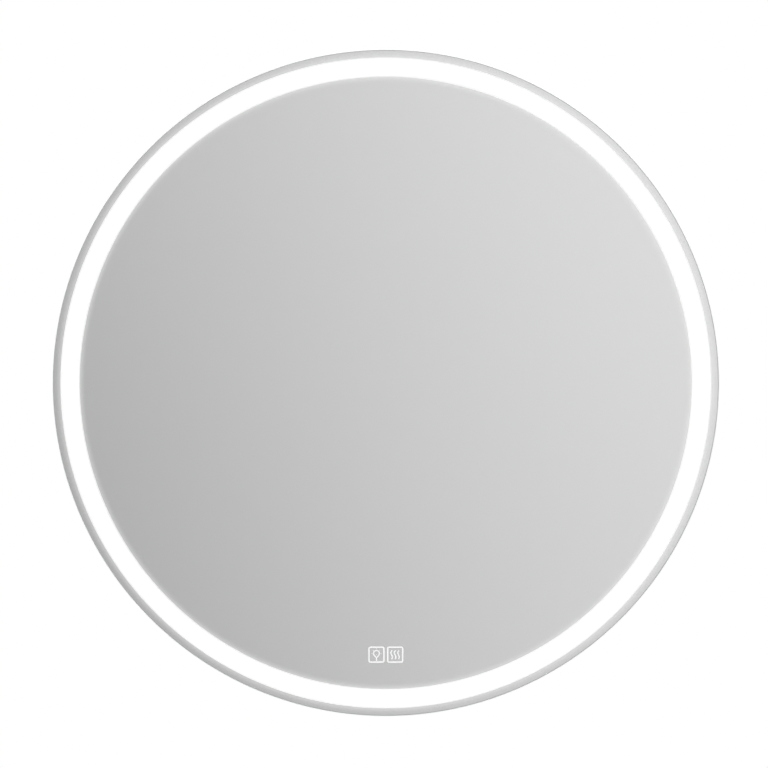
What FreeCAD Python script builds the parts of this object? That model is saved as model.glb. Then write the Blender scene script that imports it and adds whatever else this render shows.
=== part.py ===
import FreeCAD, Part

import math
import os

# Round lighted bathroom mirror, hung on two wall rails.
#
# Millimetres. +Z is up, the room is on the -Y side and the wall surface is the plane Y = 0.
# The origin is on the wall, at the centre of the disc, which is also the centre of the
# four wall screws. From the front to the back the mirror is a silvered glass disc, an opal
# ring behind its clear band, a rolled aluminium frame with the light strip on its inside,
# and a sheet steel back plate that carries the electrics. Two bent cleats on the back
# plate drop behind the lips of the two wall rails.

# ---- Glass and silvering ----
glass_dia = 800.0
glass_thick = 5.0
glass_arris = 0.8  # ground edge of the front
rim_width = 9.5  # silvered rim outside the lit band
band_width = 23.0  # clear band that the light comes through
coating_thick = 0.2  # silver, paint and safety film
coating_setback = 0.8  # edge of the glass to the edge of the silver
key_size = 19.5  # outside of a key's square outline
key_gap = 3.0  # between the two squares
key_stroke = 1.8
key_corner = 2.6
key_drop = 41.3  # from the lit band's inner edge to the keys' centres

# ---- Depths from the wall ----
overall_depth = 40.0  # wall to the front of the glass
wall_gap = 9.0  # wall to the back plate

# ---- Rolled frame and light ring ----
frame_setback = 3.0  # edge of the glass to the outside of the frame
frame_wall = 1.8
lip_clear = 0.7  # edge of the lit band to the frame's front lip
flange_width = 24.0  # back flange that the back plate is screwed to
flange_thick = 2.0
diffuser_thick = 2.0
diffuser_lap = 4.0  # diffuser past the inner edge of the band
diffuser_slip = 0.3  # diffuser to the frame's lip
strip_width = 8.0
strip_thick = 0.3
strip_tape = 0.3  # adhesive between the frame and the strip
strip_rise = 6.0  # back flange to the middle of the strip
strip_gap_at = -105.0  # degrees round the ring
strip_gap_angle = 1.2
strip_tail = 3.0  # end of the strip to its lead
led_pitch = 66.7
led_length = 3.5
led_width = 2.8
led_height = 0.7

# ---- Back plate ----
back_thick = 1.0
back_slip = 0.4  # back plate to the skirt of the frame
back_screw_count = 4
back_screw_dia = 3.5
back_screw_length = 6.0
back_screw_across = 6.5  # hexagon head
back_screw_head = 2.4
screw_play = 0.05  # radial, in a formed hole
hole_play = 0.4  # radial, in a clearance hole
rib_width = 16.0
rib_clear = 18.0  # upper cleat's flange to the inner ends of the ribs
rib_height = 2.4
rib_draft = 2.4
rib_wall = 0.3  # sloped sides of a rib, thinned by the drawing
rib_inset = 46.0  # frame skirt to the outer end of a rib
rib_slant = 64.0  # degrees, of the upper and lower ribs
vent_count = 6
vent_width = 3.0
vent_length = 46.0
vent_pitch = 9.0
vent_rise = 240.0  # centre of the plate to the first vent
bumper_size = 22.0
bumper_draft = 2.0
bumper_inset = 62.0  # frame skirt to a bumper's centre
hook_width = 8.0  # tabs lanced from the plate that hold the cases
hook_reach = 4.0
hook_slip = 0.2

# ---- Wall rails and cleats ----
wall_screw_span = 300.0  # between the two screws of one rail
wall_screw_rise = 340.0  # between the rails' screw lines
wall_hole_dia = 5.5
rail_length = 360.0
rail_thick = 1.5
rail_bend = 1.0  # inside radius
rail_flange = 20.0
rail_throat = 3.6  # wall to the back of the rail's lip
rail_lip = 13.0
cleat_length = 340.0
cleat_thick = 1.5
cleat_flange = 24.0
cleat_lip_gap = 1.1  # cleat lip to rail lip, more than the bend between them
cleat_engage = 11.0  # how far the cleat's lip reaches below the top of the rail
lower_cleat_play = 0.5  # the upper pair carries, the lower pair only guides

# ---- Demister ----
heater_width = 390.0
heater_height = 300.0
heater_rise = 25.0  # its centre above the centre of the mirror
heater_thick = 0.4
heater_margin = 14.0
track_width = 3.0
track_thick = 0.3
track_runs = 11
tab_width = 24.0
tab_height = 20.0
tab_thick = 3.0

# ---- Touch sensor ----
touch_width = 70.0
touch_height = 38.0
touch_back_gap = 2.8  # housing to the back plate
touch_wall = 1.5
touch_board_thick = 1.6
touch_tape_thick = 0.8
touch_tape_margin = 0.6
touch_pad_size = 14.0
touch_pad_gap = 0.5  # pad to the tape round it
relay_width = 15.0
relay_height = 18.0
relay_depth = 12.0

# ---- Driver ----
driver_x = 30.0
driver_z = -62.0
driver_length = 170.0
driver_width = 42.0
driver_wall = 1.6
driver_tray_thick = 2.4
driver_board_thick = 1.6
driver_board_rise = 4.0  # tray to the back of the board
driver_board_gap = 5.0  # board to the walls
driver_part_gap = 1.0  # tallest component to the cover
driver_post = 4.0
case_gap = 4.0  # driver and terminal box to the demister
case_flange = 5.0  # flange of a case past its walls, held by the hooks

# ---- Mains terminal box ----
terminal_x = -150.0
terminal_z = -62.0
terminal_width = 66.0
terminal_height = 44.0
terminal_wall = 1.8
terminal_lid = 2.4
lid_rim = 1.2  # depth of the rim that locates the lid
lid_slip = 0.1
block_width = 30.0
block_depth = 13.0
block_length = 20.0
block_poles = 3
block_port = 4.0
cable_dia = 7.0
inlet_wall = 2.0  # wall of the inlet through the back plate
inlet_reach = 1.5  # inlet behind the back plate
inlet_offset = 18.0  # middle of the box to the inlet
inlet_slip = 0.2
earth_blade_width = 6.3
earth_blade_thick = 0.8
earth_blade_reach = 9.0
earth_drop = 40.0  # terminal box to the earth blade
earth_socket_wall = 0.8

# ---- Leads inside the case ----
lead_rise = 7.2  # back plate to the middle of a lead
twin_width = 4.4  # flat two-core lead
twin_thick = 2.2
mains_lead_dia = 5.0
earth_lead_dia = 2.4
lead_slip = 0.1  # lead to the edge of its port
supply_bend = 24.0
strip_lead_bend = 12.0
supply_run = 50.0  # driver to the lead's turn downwards
supply_turn = 56.0  # touch sensor to where the lead turns towards it
clip_width = 8.0
clip_wall = 1.4
clip_foot = 14.0
clip_spacing = 80.0

# ---- Worked-out levels (Y), radii and places ----
glass_front = -overall_depth
glass_back = glass_front + glass_thick
coat_back = glass_back + coating_thick
plate_rear = -wall_gap
plate_front = plate_rear - back_thick
flange_front = plate_front - flange_thick
strip_level = flange_front - strip_rise
lead_level = plate_front - lead_rise
heater_back = coat_back + heater_thick
case_front = heater_back + track_thick + case_gap
touch_front = coat_back + touch_tape_thick
touch_rear = plate_front - touch_back_gap
heater_lead_level = touch_front + lead_slip + twin_thick / 2

glass_r = glass_dia / 2
band_outer_r = glass_r - rim_width
band_inner_r = band_outer_r - band_width
frame_r = glass_r - frame_setback
skirt_r = frame_r - frame_wall
lip_r = band_outer_r + lip_clear
screw_circle_r = skirt_r - flange_width / 2
strip_back_r = skirt_r - strip_tape
strip_r = strip_back_r - strip_thick
inlet_r = cable_dia / 2 + inlet_wall

key_x = (key_size + key_gap) / 2
key_z = key_drop - band_inner_r
rail_lines = (wall_screw_rise / 2, -wall_screw_rise / 2)
rail_top_z = rail_flange / 2 + rail_thick + rail_lip  # above the screw line
inlet_x = terminal_x - inlet_offset
earth_z = terminal_z - terminal_height / 2 - earth_drop
tab_z = heater_rise - heater_height / 2 + tab_height / 2
block_x = terminal_x + terminal_width / 2 - terminal_wall - mains_lead_dia - block_length / 2
port_deep = twin_width / 2 + lead_slip  # half sizes of a flat lead's port
port_thin = twin_thick / 2 + lead_slip
mains_port = mains_lead_dia / 2 + lead_slip
FULL = 360.0


# ---- Small modelling helpers ----
def vec(x, y, z):
    return FreeCAD.Vector(x, y, z)


def about_y(radius, angle, y=0.0):
    a = math.radians(angle)
    return vec(radius * math.cos(a), y, radius * math.sin(a))


def block(x0, x1, y0, y1, z0, z1):
    return Part.makeBox(x1 - x0, y1 - y0, z1 - z0, vec(x0, y0, z0))


def block_at(x, z, width, height, y0, y1):
    return block(x - width / 2, x + width / 2, y0, y1, z - height / 2, z + height / 2)


def rod(radius, start, end):
    axis = end - start
    return Part.makeCylinder(radius, axis.Length, start, axis)


def disc(radius, y0, y1):
    return rod(radius, vec(0, y0, 0), vec(0, y1, 0))


def ring(inner, outer, y0, y1):
    return disc(outer, y0, y1).cut(disc(inner, y0, y1))


def turn(shape, angle):
    """Turn a shape about Y, from +X towards +Z."""
    shape.rotate(vec(0, 0, 0), vec(0, -1, 0), angle)
    return shape


def revolve(points, angle=FULL, start=0.0):
    """Solid of revolution about Y from (radius, y) corners."""
    loop = [vec(r, y, 0) for r, y in points]
    face = Part.Face(Part.makePolygon(loop + loop[:1]))
    return turn(face.revolve(vec(0, 0, 0), vec(0, -1, 0), angle), start)


def round_loop(points, radii):
    """Closed wire through the points, each corner rounded by its radius."""
    count = len(points)
    entries, exits, arcs = [], [], []
    for i, corner in enumerate(points):
        back = (points[i - 1] - corner).normalize()
        ahead = (points[(i + 1) % count] - corner).normalize()
        half = back.getAngle(ahead) / 2
        run = radii[i] / math.tan(half)
        middle = (back + ahead).normalize() * (radii[i] / math.sin(half) - radii[i])
        entries.append(corner + back * run)
        exits.append(corner + ahead * run)
        arcs.append((entries[i], corner + middle, exits[i]) if radii[i] > 0 else None)
    edges = []
    for i in range(count):
        if arcs[i]:
            edges.append(Part.Arc(*arcs[i]).toShape())
        edges.append(Part.LineSegment(exits[i], entries[(i + 1) % count]).toShape())
    return Part.Wire(edges)


def round_plate(width, height, y0, y1, corner, x=0.0, z=0.0):
    """Rounded rectangle in XZ, centred on (x, z), between two Y levels."""
    corners = [(-1, -1), (1, -1), (1, 1), (-1, 1)]
    loop = [vec(x + i * width / 2, y0, z + j * height / 2) for i, j in corners]
    return Part.Face(round_loop(loop, [corner] * 4)).extrude(vec(0, y1 - y0, 0))


def tapered_block(width, height, draft, y0, y1):
    """Rectangle in XZ at y0 whose sides all slope in by draft on the way to y1."""
    outlines = []
    for half_w, half_h, y in ((width / 2, height / 2, y0), (width / 2 - draft, height / 2 - draft, y1)):
        corners = [vec(i * half_w, y, j * half_h) for i, j in ((-1, -1), (1, -1), (1, 1), (-1, 1))]
        outlines.append(Part.makePolygon(corners + corners[:1]))
    return Part.makeLoft(outlines, True, True)


def bent_sheet(path, thick, bend, length):
    """Bent strip along X. path lists (y, z) corners of one face, the sheet lies to its left."""
    points = [vec(-length / 2, y, z) for y, z in path]
    runs = [(b - a).normalize() for a, b in zip(points, points[1:])]
    lefts = [vec(0, -d.z, d.y) for d in runs]
    far, near_radii, far_radii = [points[0] + lefts[0] * thick], [0], [0]
    for i in range(1, len(points) - 1):
        spread = 1 + lefts[i - 1].dot(lefts[i])
        far.append(points[i] + (lefts[i - 1] + lefts[i]) * (thick / spread))
        turns_left = runs[i - 1].cross(runs[i]).x > 0
        near_radii.append(bend + thick if turns_left else bend)
        far_radii.append(bend if turns_left else bend + thick)
    far.append(points[-1] + lefts[-1] * thick)
    radii = near_radii + [0] + list(reversed(far_radii + [0]))
    return Part.Face(round_loop(points + list(reversed(far)), radii)).extrude(vec(length, 0, 0))


def flat_lead(points, bend):
    """Flat two-core lead on its edge: straight runs in one Y plane joined by tangent arcs."""
    edges, start = [], points[0]
    for before, corner, after in zip(points, points[1:], points[2:]):
        back, ahead = (before - corner).normalize(), (after - corner).normalize()
        half = back.getAngle(ahead) / 2
        run = bend / math.tan(half)
        middle = corner + (back + ahead).normalize() * (bend / math.sin(half) - bend)
        edges.append(Part.LineSegment(start, corner + back * run).toShape())
        edges.append(Part.Arc(corner + back * run, middle, corner + ahead * run).toShape())
        start = corner + ahead * run
    edges.append(Part.LineSegment(start, points[-1]).toShape())
    across = (points[1] - points[0]).normalize().cross(vec(0, 1, 0)) * (twin_thick / 2)
    deep = vec(0, twin_width / 2, 0)
    offsets = [across + deep, deep - across, across * -1 - deep, across - deep]
    corners = [points[0] + offset for offset in offsets]
    section = Part.makePolygon(corners + corners[:1])
    return Part.Wire(edges).makePipeShell([section], True, False)


def cut_all(solid, tools):
    for tool in tools:
        solid = solid.cut(tool)
    return solid


def fuse_all(solids):
    return solids[0].fuse(solids[1:]).removeSplitter()


def hexagon(centre, across, height):
    """Hexagonal prism from its base centre, along Y."""
    loop = [centre + about_y(across / math.sqrt(3), 60 * i) for i in range(6)]
    return Part.Face(Part.makePolygon(loop + loop[:1])).extrude(vec(0, height, 0))


# ---- Glass, silvering and what is bonded behind them ----
def mirror_glass():
    return revolve([
        (0, glass_front), (glass_r - glass_arris, glass_front),
        (glass_r, glass_front + glass_arris), (glass_r, glass_back), (0, glass_back),
    ])


def key_outline(x):
    """The square line left clear round one touch key."""
    inner = key_size - 2 * key_stroke
    outside = round_plate(key_size, key_size, glass_back, coat_back, key_corner, x, key_z)
    return outside.cut(block_at(x, key_z, inner, inner, glass_back, coat_back))


def silvering():
    """Silver on the back of the glass: the mirror, the two squares within keys, and the rim."""
    centre = disc(band_inner_r, glass_back, coat_back)
    centre = cut_all(centre, [key_outline(-key_x), key_outline(key_x)])
    return centre.Solids + [ring(band_outer_r, glass_r - coating_setback, glass_back, coat_back)]


def diffuser_ring():
    inner, outer = band_inner_r - diffuser_lap, lip_r - diffuser_slip
    return ring(inner, outer, coat_back, coat_back + diffuser_thick)


# ---- Rolled frame with its light strip ----
def back_screw_angles():
    step = FULL / back_screw_count
    return [step * (i + 0.5) for i in range(back_screw_count)]


def frame_ring():
    """Rolled profile: outer wall, bonded front lip, back flange, skirt round the back plate."""
    flange_r = skirt_r - flange_width
    lip_back = coat_back + frame_wall
    frame = revolve([
        (frame_r, coat_back), (frame_r, plate_rear), (skirt_r, plate_rear),
        (skirt_r, plate_front), (flange_r, plate_front), (flange_r, flange_front),
        (skirt_r, flange_front), (skirt_r, lip_back), (lip_r, lip_back), (lip_r, coat_back),
    ])
    pilot = back_screw_dia / 2 + screw_play
    for angle in back_screw_angles():
        start = about_y(screw_circle_r, angle, plate_front)
        frame = frame.cut(rod(pilot, start, start - vec(0, flange_thick, 0)))
    return frame


def strip_start():
    return strip_gap_at - math.degrees(strip_tail / strip_r)


def led_strip():
    y0, y1 = strip_level - strip_width / 2, strip_level + strip_width / 2
    section = [(strip_r, y0), (strip_back_r, y0), (strip_back_r, y1), (strip_r, y1)]
    return revolve(section, FULL - strip_gap_angle, strip_start())


def led_chips():
    seat_r = math.sqrt(strip_r ** 2 - (led_length / 2) ** 2)
    sweep = FULL - strip_gap_angle
    count = int(math.radians(sweep) * strip_r / led_pitch)
    chips = []
    for i in range(count):
        chip = block(seat_r - led_height, seat_r, strip_level - led_width / 2,
                     strip_level + led_width / 2, -led_length / 2, led_length / 2)
        chips.append(turn(chip, strip_start() + (i + 0.5) * sweep / count))
    return chips


# ---- Back plate ----
def rib_angles():
    upper, lower = rib_slant, -rib_slant
    return [0.0, upper, 180.0 - upper, 180.0, 180.0 - lower, lower]


def rib(shrink, y_base):
    """Drawn rib as a body, on +X: its four sides slope in towards its top."""
    far = skirt_r - rib_inset
    near = (cleat_tops()[0] + cleat_flange + rib_clear) / math.sin(math.radians(rib_slant))
    body = tapered_block(far - near - 2 * shrink, rib_width - 2 * shrink, rib_draft,
                         y_base, y_base + rib_height)
    body.translate(vec((far + near) / 2, 0, 0))
    return body


def cleat_tops():
    """Z of the underside of each cleat's web."""
    return (rail_lines[0] + rail_top_z, rail_lines[1] + rail_top_z + lower_cleat_play)


def case_hooks():
    """(x, z, direction, held thickness) of each hook: a case's edge and the way into the case."""
    end = driver_length / 2 + case_flange
    side = driver_width / 2 + case_flange
    box_side = terminal_height / 2 + case_flange
    return [
        (driver_x - end, driver_z, 0, driver_tray_thick),
        (driver_x + end, driver_z, 180, driver_tray_thick),
        (driver_x, driver_z - side, 90, driver_tray_thick),
        (driver_x, driver_z + side, -90, driver_tray_thick),
        (terminal_x, terminal_z - box_side, 90, terminal_wall),
        (terminal_x, terminal_z + box_side, -90, terminal_wall),
    ]


def hook(x, z, direction, held):
    """Tab that stands on the plate beside a case and reaches over its edge, and its window."""
    top = plate_front - held - hook_slip
    outer = -hook_slip - back_thick
    half = hook_width / 2
    post = block(outer, -hook_slip, top - back_thick, plate_front, -half, half)
    arm = block(-hook_slip, hook_reach, top - back_thick, top, -half, half)
    length = hook_reach + held + 2 * hook_slip
    window = block(outer - length, outer, plate_front, plate_rear, -half, half)
    shapes = [post.fuse(arm).removeSplitter(), window]
    for shape in shapes:
        turn(shape, direction)
        shape.translate(vec(x, 0, z))
    return shapes


def back_plate():
    raised = [turn(rib(0, plate_rear), angle) for angle in rib_angles()]
    holes = [turn(rib(rib_wall, plate_front), angle) for angle in rib_angles()]
    for place in case_hooks():
        tab, window = hook(*place)
        raised.append(tab)
        holes.append(window)
    for angle in back_screw_angles():
        rear = about_y(screw_circle_r, angle, plate_rear)
        holes.append(rod(back_screw_dia / 2 + hole_play, rear, rear - vec(0, back_thick, 0)))
    inlet = vec(inlet_x, plate_front, terminal_z)
    holes.append(rod(inlet_r + inlet_slip, inlet, inlet + vec(0, back_thick, 0)))
    for side in (-1, 1):
        for i in range(vent_count):
            z = side * (vent_rise + i * vent_pitch)
            holes.append(block_at(0, z, vent_length, vent_width, plate_front, plate_rear))
    plate = disc(skirt_r - back_slip, plate_front, plate_rear)
    return cut_all(fuse_all([plate] + raised), holes)


def back_screws():
    """Hexagon head screws: head behind the plate, shank through the plate and the flange."""
    screws = []
    for angle in back_screw_angles():
        seat = about_y(screw_circle_r, angle, plate_rear)
        head = hexagon(seat, back_screw_across, back_screw_head)
        screws.append(head.fuse(rod(back_screw_dia / 2, seat, seat - vec(0, back_screw_length, 0))))
    return screws


def wall_bumpers():
    """Rubber feet stuck to the back plate, which keep the mirror parallel to the wall."""
    bumpers = []
    for angle in (45, 135, 225, 315):
        bumper = tapered_block(bumper_size, bumper_size, bumper_draft, plate_rear, 0)
        bumper.translate(vec(skirt_r - bumper_inset, 0, 0))
        bumpers.append(turn(bumper, angle))
    return bumpers


# ---- Wall rails and cleats ----
def wall_rail(line_z):
    """Z-section rail: a flange on the wall, a web, and an upright lip that stands off the wall."""
    web_top = line_z + rail_flange / 2 + rail_thick
    path = [(0, line_z - rail_flange / 2), (0, web_top),
            (-rail_throat, web_top), (-rail_throat, line_z + rail_top_z)]
    rail = bent_sheet(path, rail_thick, rail_bend, rail_length)
    for side in (-1, 1):
        at = vec(side * wall_screw_span / 2, 0, line_z)
        rail = rail.cut(rod(wall_hole_dia / 2, at, at - vec(0, rail_thick, 0)))
    return rail


def cleat(top_z):
    """The mirror's half of the joint: a flange on the back plate and a lip that hangs down."""
    lip_front = cleat_lip_gap - rail_throat
    path = [(plate_rear, top_z + cleat_flange), (plate_rear, top_z),
            (lip_front, top_z), (lip_front, top_z - cleat_engage)]
    return bent_sheet(path, cleat_thick, rail_bend, cleat_length)


# ---- Demister ----
def heater_pad():
    return block_at(0, heater_rise, heater_width, heater_height, coat_back, heater_back)


def heater_track():
    """Printed heating track: level runs joined by square turns at alternate ends."""
    half_w = heater_width / 2 - heater_margin
    half_h = heater_height / 2 - heater_margin
    step = (2 * half_h - track_width) / (track_runs - 1)
    y0, y1 = heater_back, heater_back + track_thick
    pieces = []
    for i in range(track_runs):
        z = heater_rise - half_h + i * step
        pieces.append(block(-half_w, half_w, y0, y1, z, z + track_width))
        if i:
            x0 = half_w - track_width if i % 2 else -half_w
            pieces.append(block(x0, x0 + track_width, y0, y1, z - step, z + track_width))
    return fuse_all(pieces)


def heater_tab():
    """Moulded cover over the soldered start of the track, at the pad's lower edge."""
    tab = block_at(0, tab_z, tab_width, tab_height, heater_back, heater_back + tab_thick)
    return tab.cut(heater_track())


# ---- Touch sensor behind the two keys ----
def touch_tape():
    margin, window = 2 * touch_tape_margin, touch_pad_size + 2 * touch_pad_gap
    tape = block_at(0, key_z, touch_width - margin, touch_height - margin, coat_back, touch_front)
    windows = [block_at(x, key_z, window, window, coat_back, touch_front) for x in (-key_x, key_x)]
    return cut_all(tape, windows)


def touch_pads():
    """Conductive foam squares that carry each key's field to the glass."""
    size = touch_pad_size
    return [block_at(x, key_z, size, size, coat_back, touch_front) for x in (-key_x, key_x)]


def touch_board():
    """Sensor board with its two relays."""
    y1 = touch_front + touch_board_thick
    inset = 2 * (touch_wall + lead_slip)
    shapes = [block_at(0, key_z, touch_width - inset, touch_height - inset, touch_front, y1)]
    for x in (-touch_width / 4, touch_width / 4):
        shapes.append(block_at(x, key_z, relay_width, relay_height, y1, y1 + relay_depth))
    return fuse_all(shapes)


def touch_housing():
    """Case that is open towards the glass, with ports for its three leads."""
    wall = touch_wall
    case = block_at(0, key_z, touch_width, touch_height, touch_front, touch_rear)
    hollow = block_at(0, key_z, touch_width - 2 * wall, touch_height - 2 * wall, touch_front,
                      touch_rear - wall)
    top = key_z + touch_height / 2
    ports = [block(-port_deep, port_deep, touch_front, heater_lead_level + port_thin,
                   top - wall, top)]
    for x in (-touch_width / 2, touch_width / 2):
        ports.append(block(x - wall, x + wall, lead_level - port_deep, lead_level + port_deep,
                           key_z - port_thin, key_z + port_thin))
    return cut_all(case, [hollow] + ports)


# ---- Driver ----
def driver_tray():
    """Base of the driver: a flat tray whose edge lies under the hooks of the back plate."""
    return block_at(driver_x, driver_z, driver_length + 2 * case_flange,
                    driver_width + 2 * case_flange, plate_front - driver_tray_thick, plate_front)


def driver_end(side):
    """Where a lead goes through the left or the right wall of the driver."""
    return vec(driver_x + side * driver_length / 2, lead_level, driver_z)


def driver_cover():
    wall, back = driver_wall, plate_front - driver_tray_thick
    cover = block_at(driver_x, driver_z, driver_length, driver_width, case_front, back)
    hollow = block_at(driver_x, driver_z, driver_length - 2 * wall, driver_width - 2 * wall,
                      case_front + wall, back)
    left, right = driver_end(-1).x, driver_end(1).x
    mains = block(left, left + wall, lead_level - mains_port, lead_level + mains_port,
                  driver_z - mains_port, driver_z + mains_port)
    low = block(right - wall, right, lead_level - port_deep, lead_level + port_deep,
                driver_z - port_thin, driver_z + port_thin)
    return cut_all(cover, [hollow, mains, low])


def driver_board():
    """Board on four posts, with its capacitor, transformer and coil on the front."""
    post_front = plate_front - driver_tray_thick - driver_board_rise
    front = post_front - driver_board_thick
    part_front = case_front + driver_wall + driver_part_gap
    inset = 2 * (driver_wall + driver_board_gap)
    length, width = driver_length - inset, driver_width - inset
    shapes = [block_at(driver_x, driver_z, length, width, front, post_front)]
    for along, wide, tall in ((-0.3, 0.12, 0.6), (0.0, 0.2, 0.9), (0.3, 0.14, 0.7)):
        shapes.append(block_at(driver_x + along * length, driver_z, wide * length, tall * width,
                               part_front, front))
    for i in (-1, 1):
        for j in (-1, 1):
            x = driver_x + i * (length - driver_post) / 2
            z = driver_z + j * (width - driver_post) / 2
            shapes.append(block_at(x, z, driver_post, driver_post, post_front,
                                   plate_front - driver_tray_thick))
    return fuse_all(shapes)


# ---- Mains terminal box and earth ----
def terminal_base():
    """Open box on a flange, with the cable inlet moulded through its floor and the back plate."""
    wall = terminal_wall
    floor = plate_front - wall
    lid_back = case_front + terminal_lid
    tip = plate_rear + inlet_reach
    case = block_at(terminal_x, terminal_z, terminal_width, terminal_height, lid_back, plate_front)
    hollow = block_at(terminal_x, terminal_z, terminal_width - 2 * wall, terminal_height - 2 * wall,
                      lid_back, floor)
    flange = block_at(terminal_x, terminal_z, terminal_width, terminal_height + 2 * case_flange,
                      floor, plate_front)
    inlet = rod(inlet_r, vec(inlet_x, floor, terminal_z), vec(inlet_x, tip, terminal_z))
    bore = rod(cable_dia / 2, vec(inlet_x, floor, terminal_z), vec(inlet_x, tip, terminal_z))
    side = terminal_x + terminal_width / 2
    mains = block(side - wall, side, lead_level - mains_port, lead_level + mains_port,
                  terminal_z - mains_port, terminal_z + mains_port)
    low, half = terminal_z - terminal_height / 2, earth_lead_dia / 2 + lead_slip
    earth = block(terminal_x - half, terminal_x + half, lead_level - half, lead_level + half,
                  low, low + wall)
    return cut_all(fuse_all([case, flange, inlet]), [hollow, bore, mains, earth])


def terminal_cover():
    """Flat lid with a rim that drops inside the walls of the base."""
    y1 = case_front + terminal_lid
    lid = block_at(terminal_x, terminal_z, terminal_width, terminal_height, case_front, y1)
    width = terminal_width - 2 * (terminal_wall + lid_slip)
    height = terminal_height - 2 * (terminal_wall + lid_slip)
    rim = block_at(terminal_x, terminal_z, width, height, y1, y1 + lid_rim)
    well = block_at(terminal_x, terminal_z, width - 2 * terminal_wall, height - 2 * terminal_wall,
                    y1, y1 + lid_rim)
    return fuse_all([lid, rim.cut(well)])


def terminal_block():
    """Block with a square wire way and two screw wells for each pole."""
    y1 = plate_front - terminal_wall
    y0 = y1 - block_depth
    body = block_at(block_x, terminal_z, block_length, block_width, y0, y1)
    pitch = block_width / block_poles
    cuts = []
    for i in range(block_poles):
        z = terminal_z + (i - (block_poles - 1) / 2) * pitch
        cuts.append(block_at(block_x, z, block_length, block_port, y1 - 2 * block_port,
                             y1 - block_port))
        for x in (block_x - block_length / 4, block_x + block_length / 4):
            cuts.append(block_at(x, z, block_port, block_port, y0, y1 - 2 * block_port))
    return cut_all(body, cuts)


def earth_blade():
    """Push-on blade for the earth lead, spot welded to the back plate."""
    half = earth_blade_width / 2
    foot = block(terminal_x - half, terminal_x + half, plate_front - earth_blade_thick, plate_front,
                 earth_z - earth_blade_width, earth_z)
    blade = block(terminal_x - half, terminal_x + half, plate_front - earth_blade_reach, plate_front,
                  earth_z, earth_z + earth_blade_thick)
    return fuse_all([foot, blade])


def earth_lead():
    """Earth lead with the socket that is pushed on the blade."""
    wall, tip = earth_socket_wall, plate_front - earth_blade_reach
    half = earth_blade_width / 2
    mouth = tip + earth_blade_reach * 2 / 3
    socket = block(terminal_x - half - wall, terminal_x + half + wall, tip - wall, mouth,
                   earth_z - wall, earth_z + earth_blade_thick + wall)
    slot = block(terminal_x - half, terminal_x + half, tip, mouth, earth_z,
                 earth_z + earth_blade_thick)
    bottom = vec(terminal_x, lead_level, earth_z + earth_blade_thick + wall)
    top = vec(terminal_x, lead_level, terminal_z - terminal_height / 2 + terminal_wall)
    return fuse_all([socket.cut(slot), rod(earth_lead_dia / 2, bottom, top)])


# ---- Leads ----
def mains_lead():
    start = vec(terminal_x + terminal_width / 2 - terminal_wall, lead_level, terminal_z)
    return rod(mains_lead_dia / 2, start, driver_end(-1) + vec(driver_wall, 0, 0))


def supply_points():
    """From the driver round the right side and down to the touch sensor."""
    start = driver_end(1) - vec(driver_wall, 0, 0)
    right = driver_end(1).x + supply_run
    end = vec(touch_width / 2 - touch_wall, lead_level, key_z)
    return [start, vec(right, lead_level, driver_z), vec(right, lead_level, key_z + supply_turn),
            vec(touch_width / 2 + supply_turn, lead_level, key_z), end]


def strip_points():
    """From the touch sensor to the end of the light strip, which it meets square."""
    start = vec(touch_wall - touch_width / 2, lead_level, key_z)
    turn_in = about_y(skirt_r - 2 * flange_width, strip_gap_at, lead_level)
    level = vec((start.x + turn_in.x) / 2, lead_level, key_z)
    return [start, level, turn_in, about_y(strip_r - lead_slip, strip_gap_at, lead_level)]


def heater_lead():
    """Straight flat lead along the back of the glass, from the touch sensor to the tab."""
    return block(-twin_width / 2, twin_width / 2, heater_lead_level - twin_thick / 2,
                 heater_lead_level + twin_thick / 2, key_z + touch_height / 2 - touch_wall,
                 tab_z - tab_height / 2)


def lead_clips():
    """Saddles that hold the supply lead off the back plate."""
    high = supply_points()[1]
    clips = []
    for i in (1, 2):
        z = high.z - i * clip_spacing
        foot_front = plate_front - clip_wall
        foot = block_at(high.x, z, clip_foot, clip_width, foot_front, plate_front)
        post = block_at(high.x, z, twin_thick + 2 * clip_wall, clip_width,
                        lead_level - port_deep - clip_wall, foot_front)
        hole = block_at(high.x, z, 2 * port_thin, clip_width, lead_level - port_deep,
                        lead_level + port_deep)
        clips.append(fuse_all([foot, post]).cut(hole))
    return clips


def save(node, solids):
    shape = solids if isinstance(solids, Part.Shape) else Part.makeCompound(solids)
    for solid in shape.Solids:
        if not solid.isValid() or solid.Volume <= 0:
            print("check", node, solid.isValid(), solid.Volume)
    print(f"{node}: {len(shape.Solids)} solids, {shape.Volume / 1000:.2f} cm3")
    shape.exportStep(f"parts/{node}.step")


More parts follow.
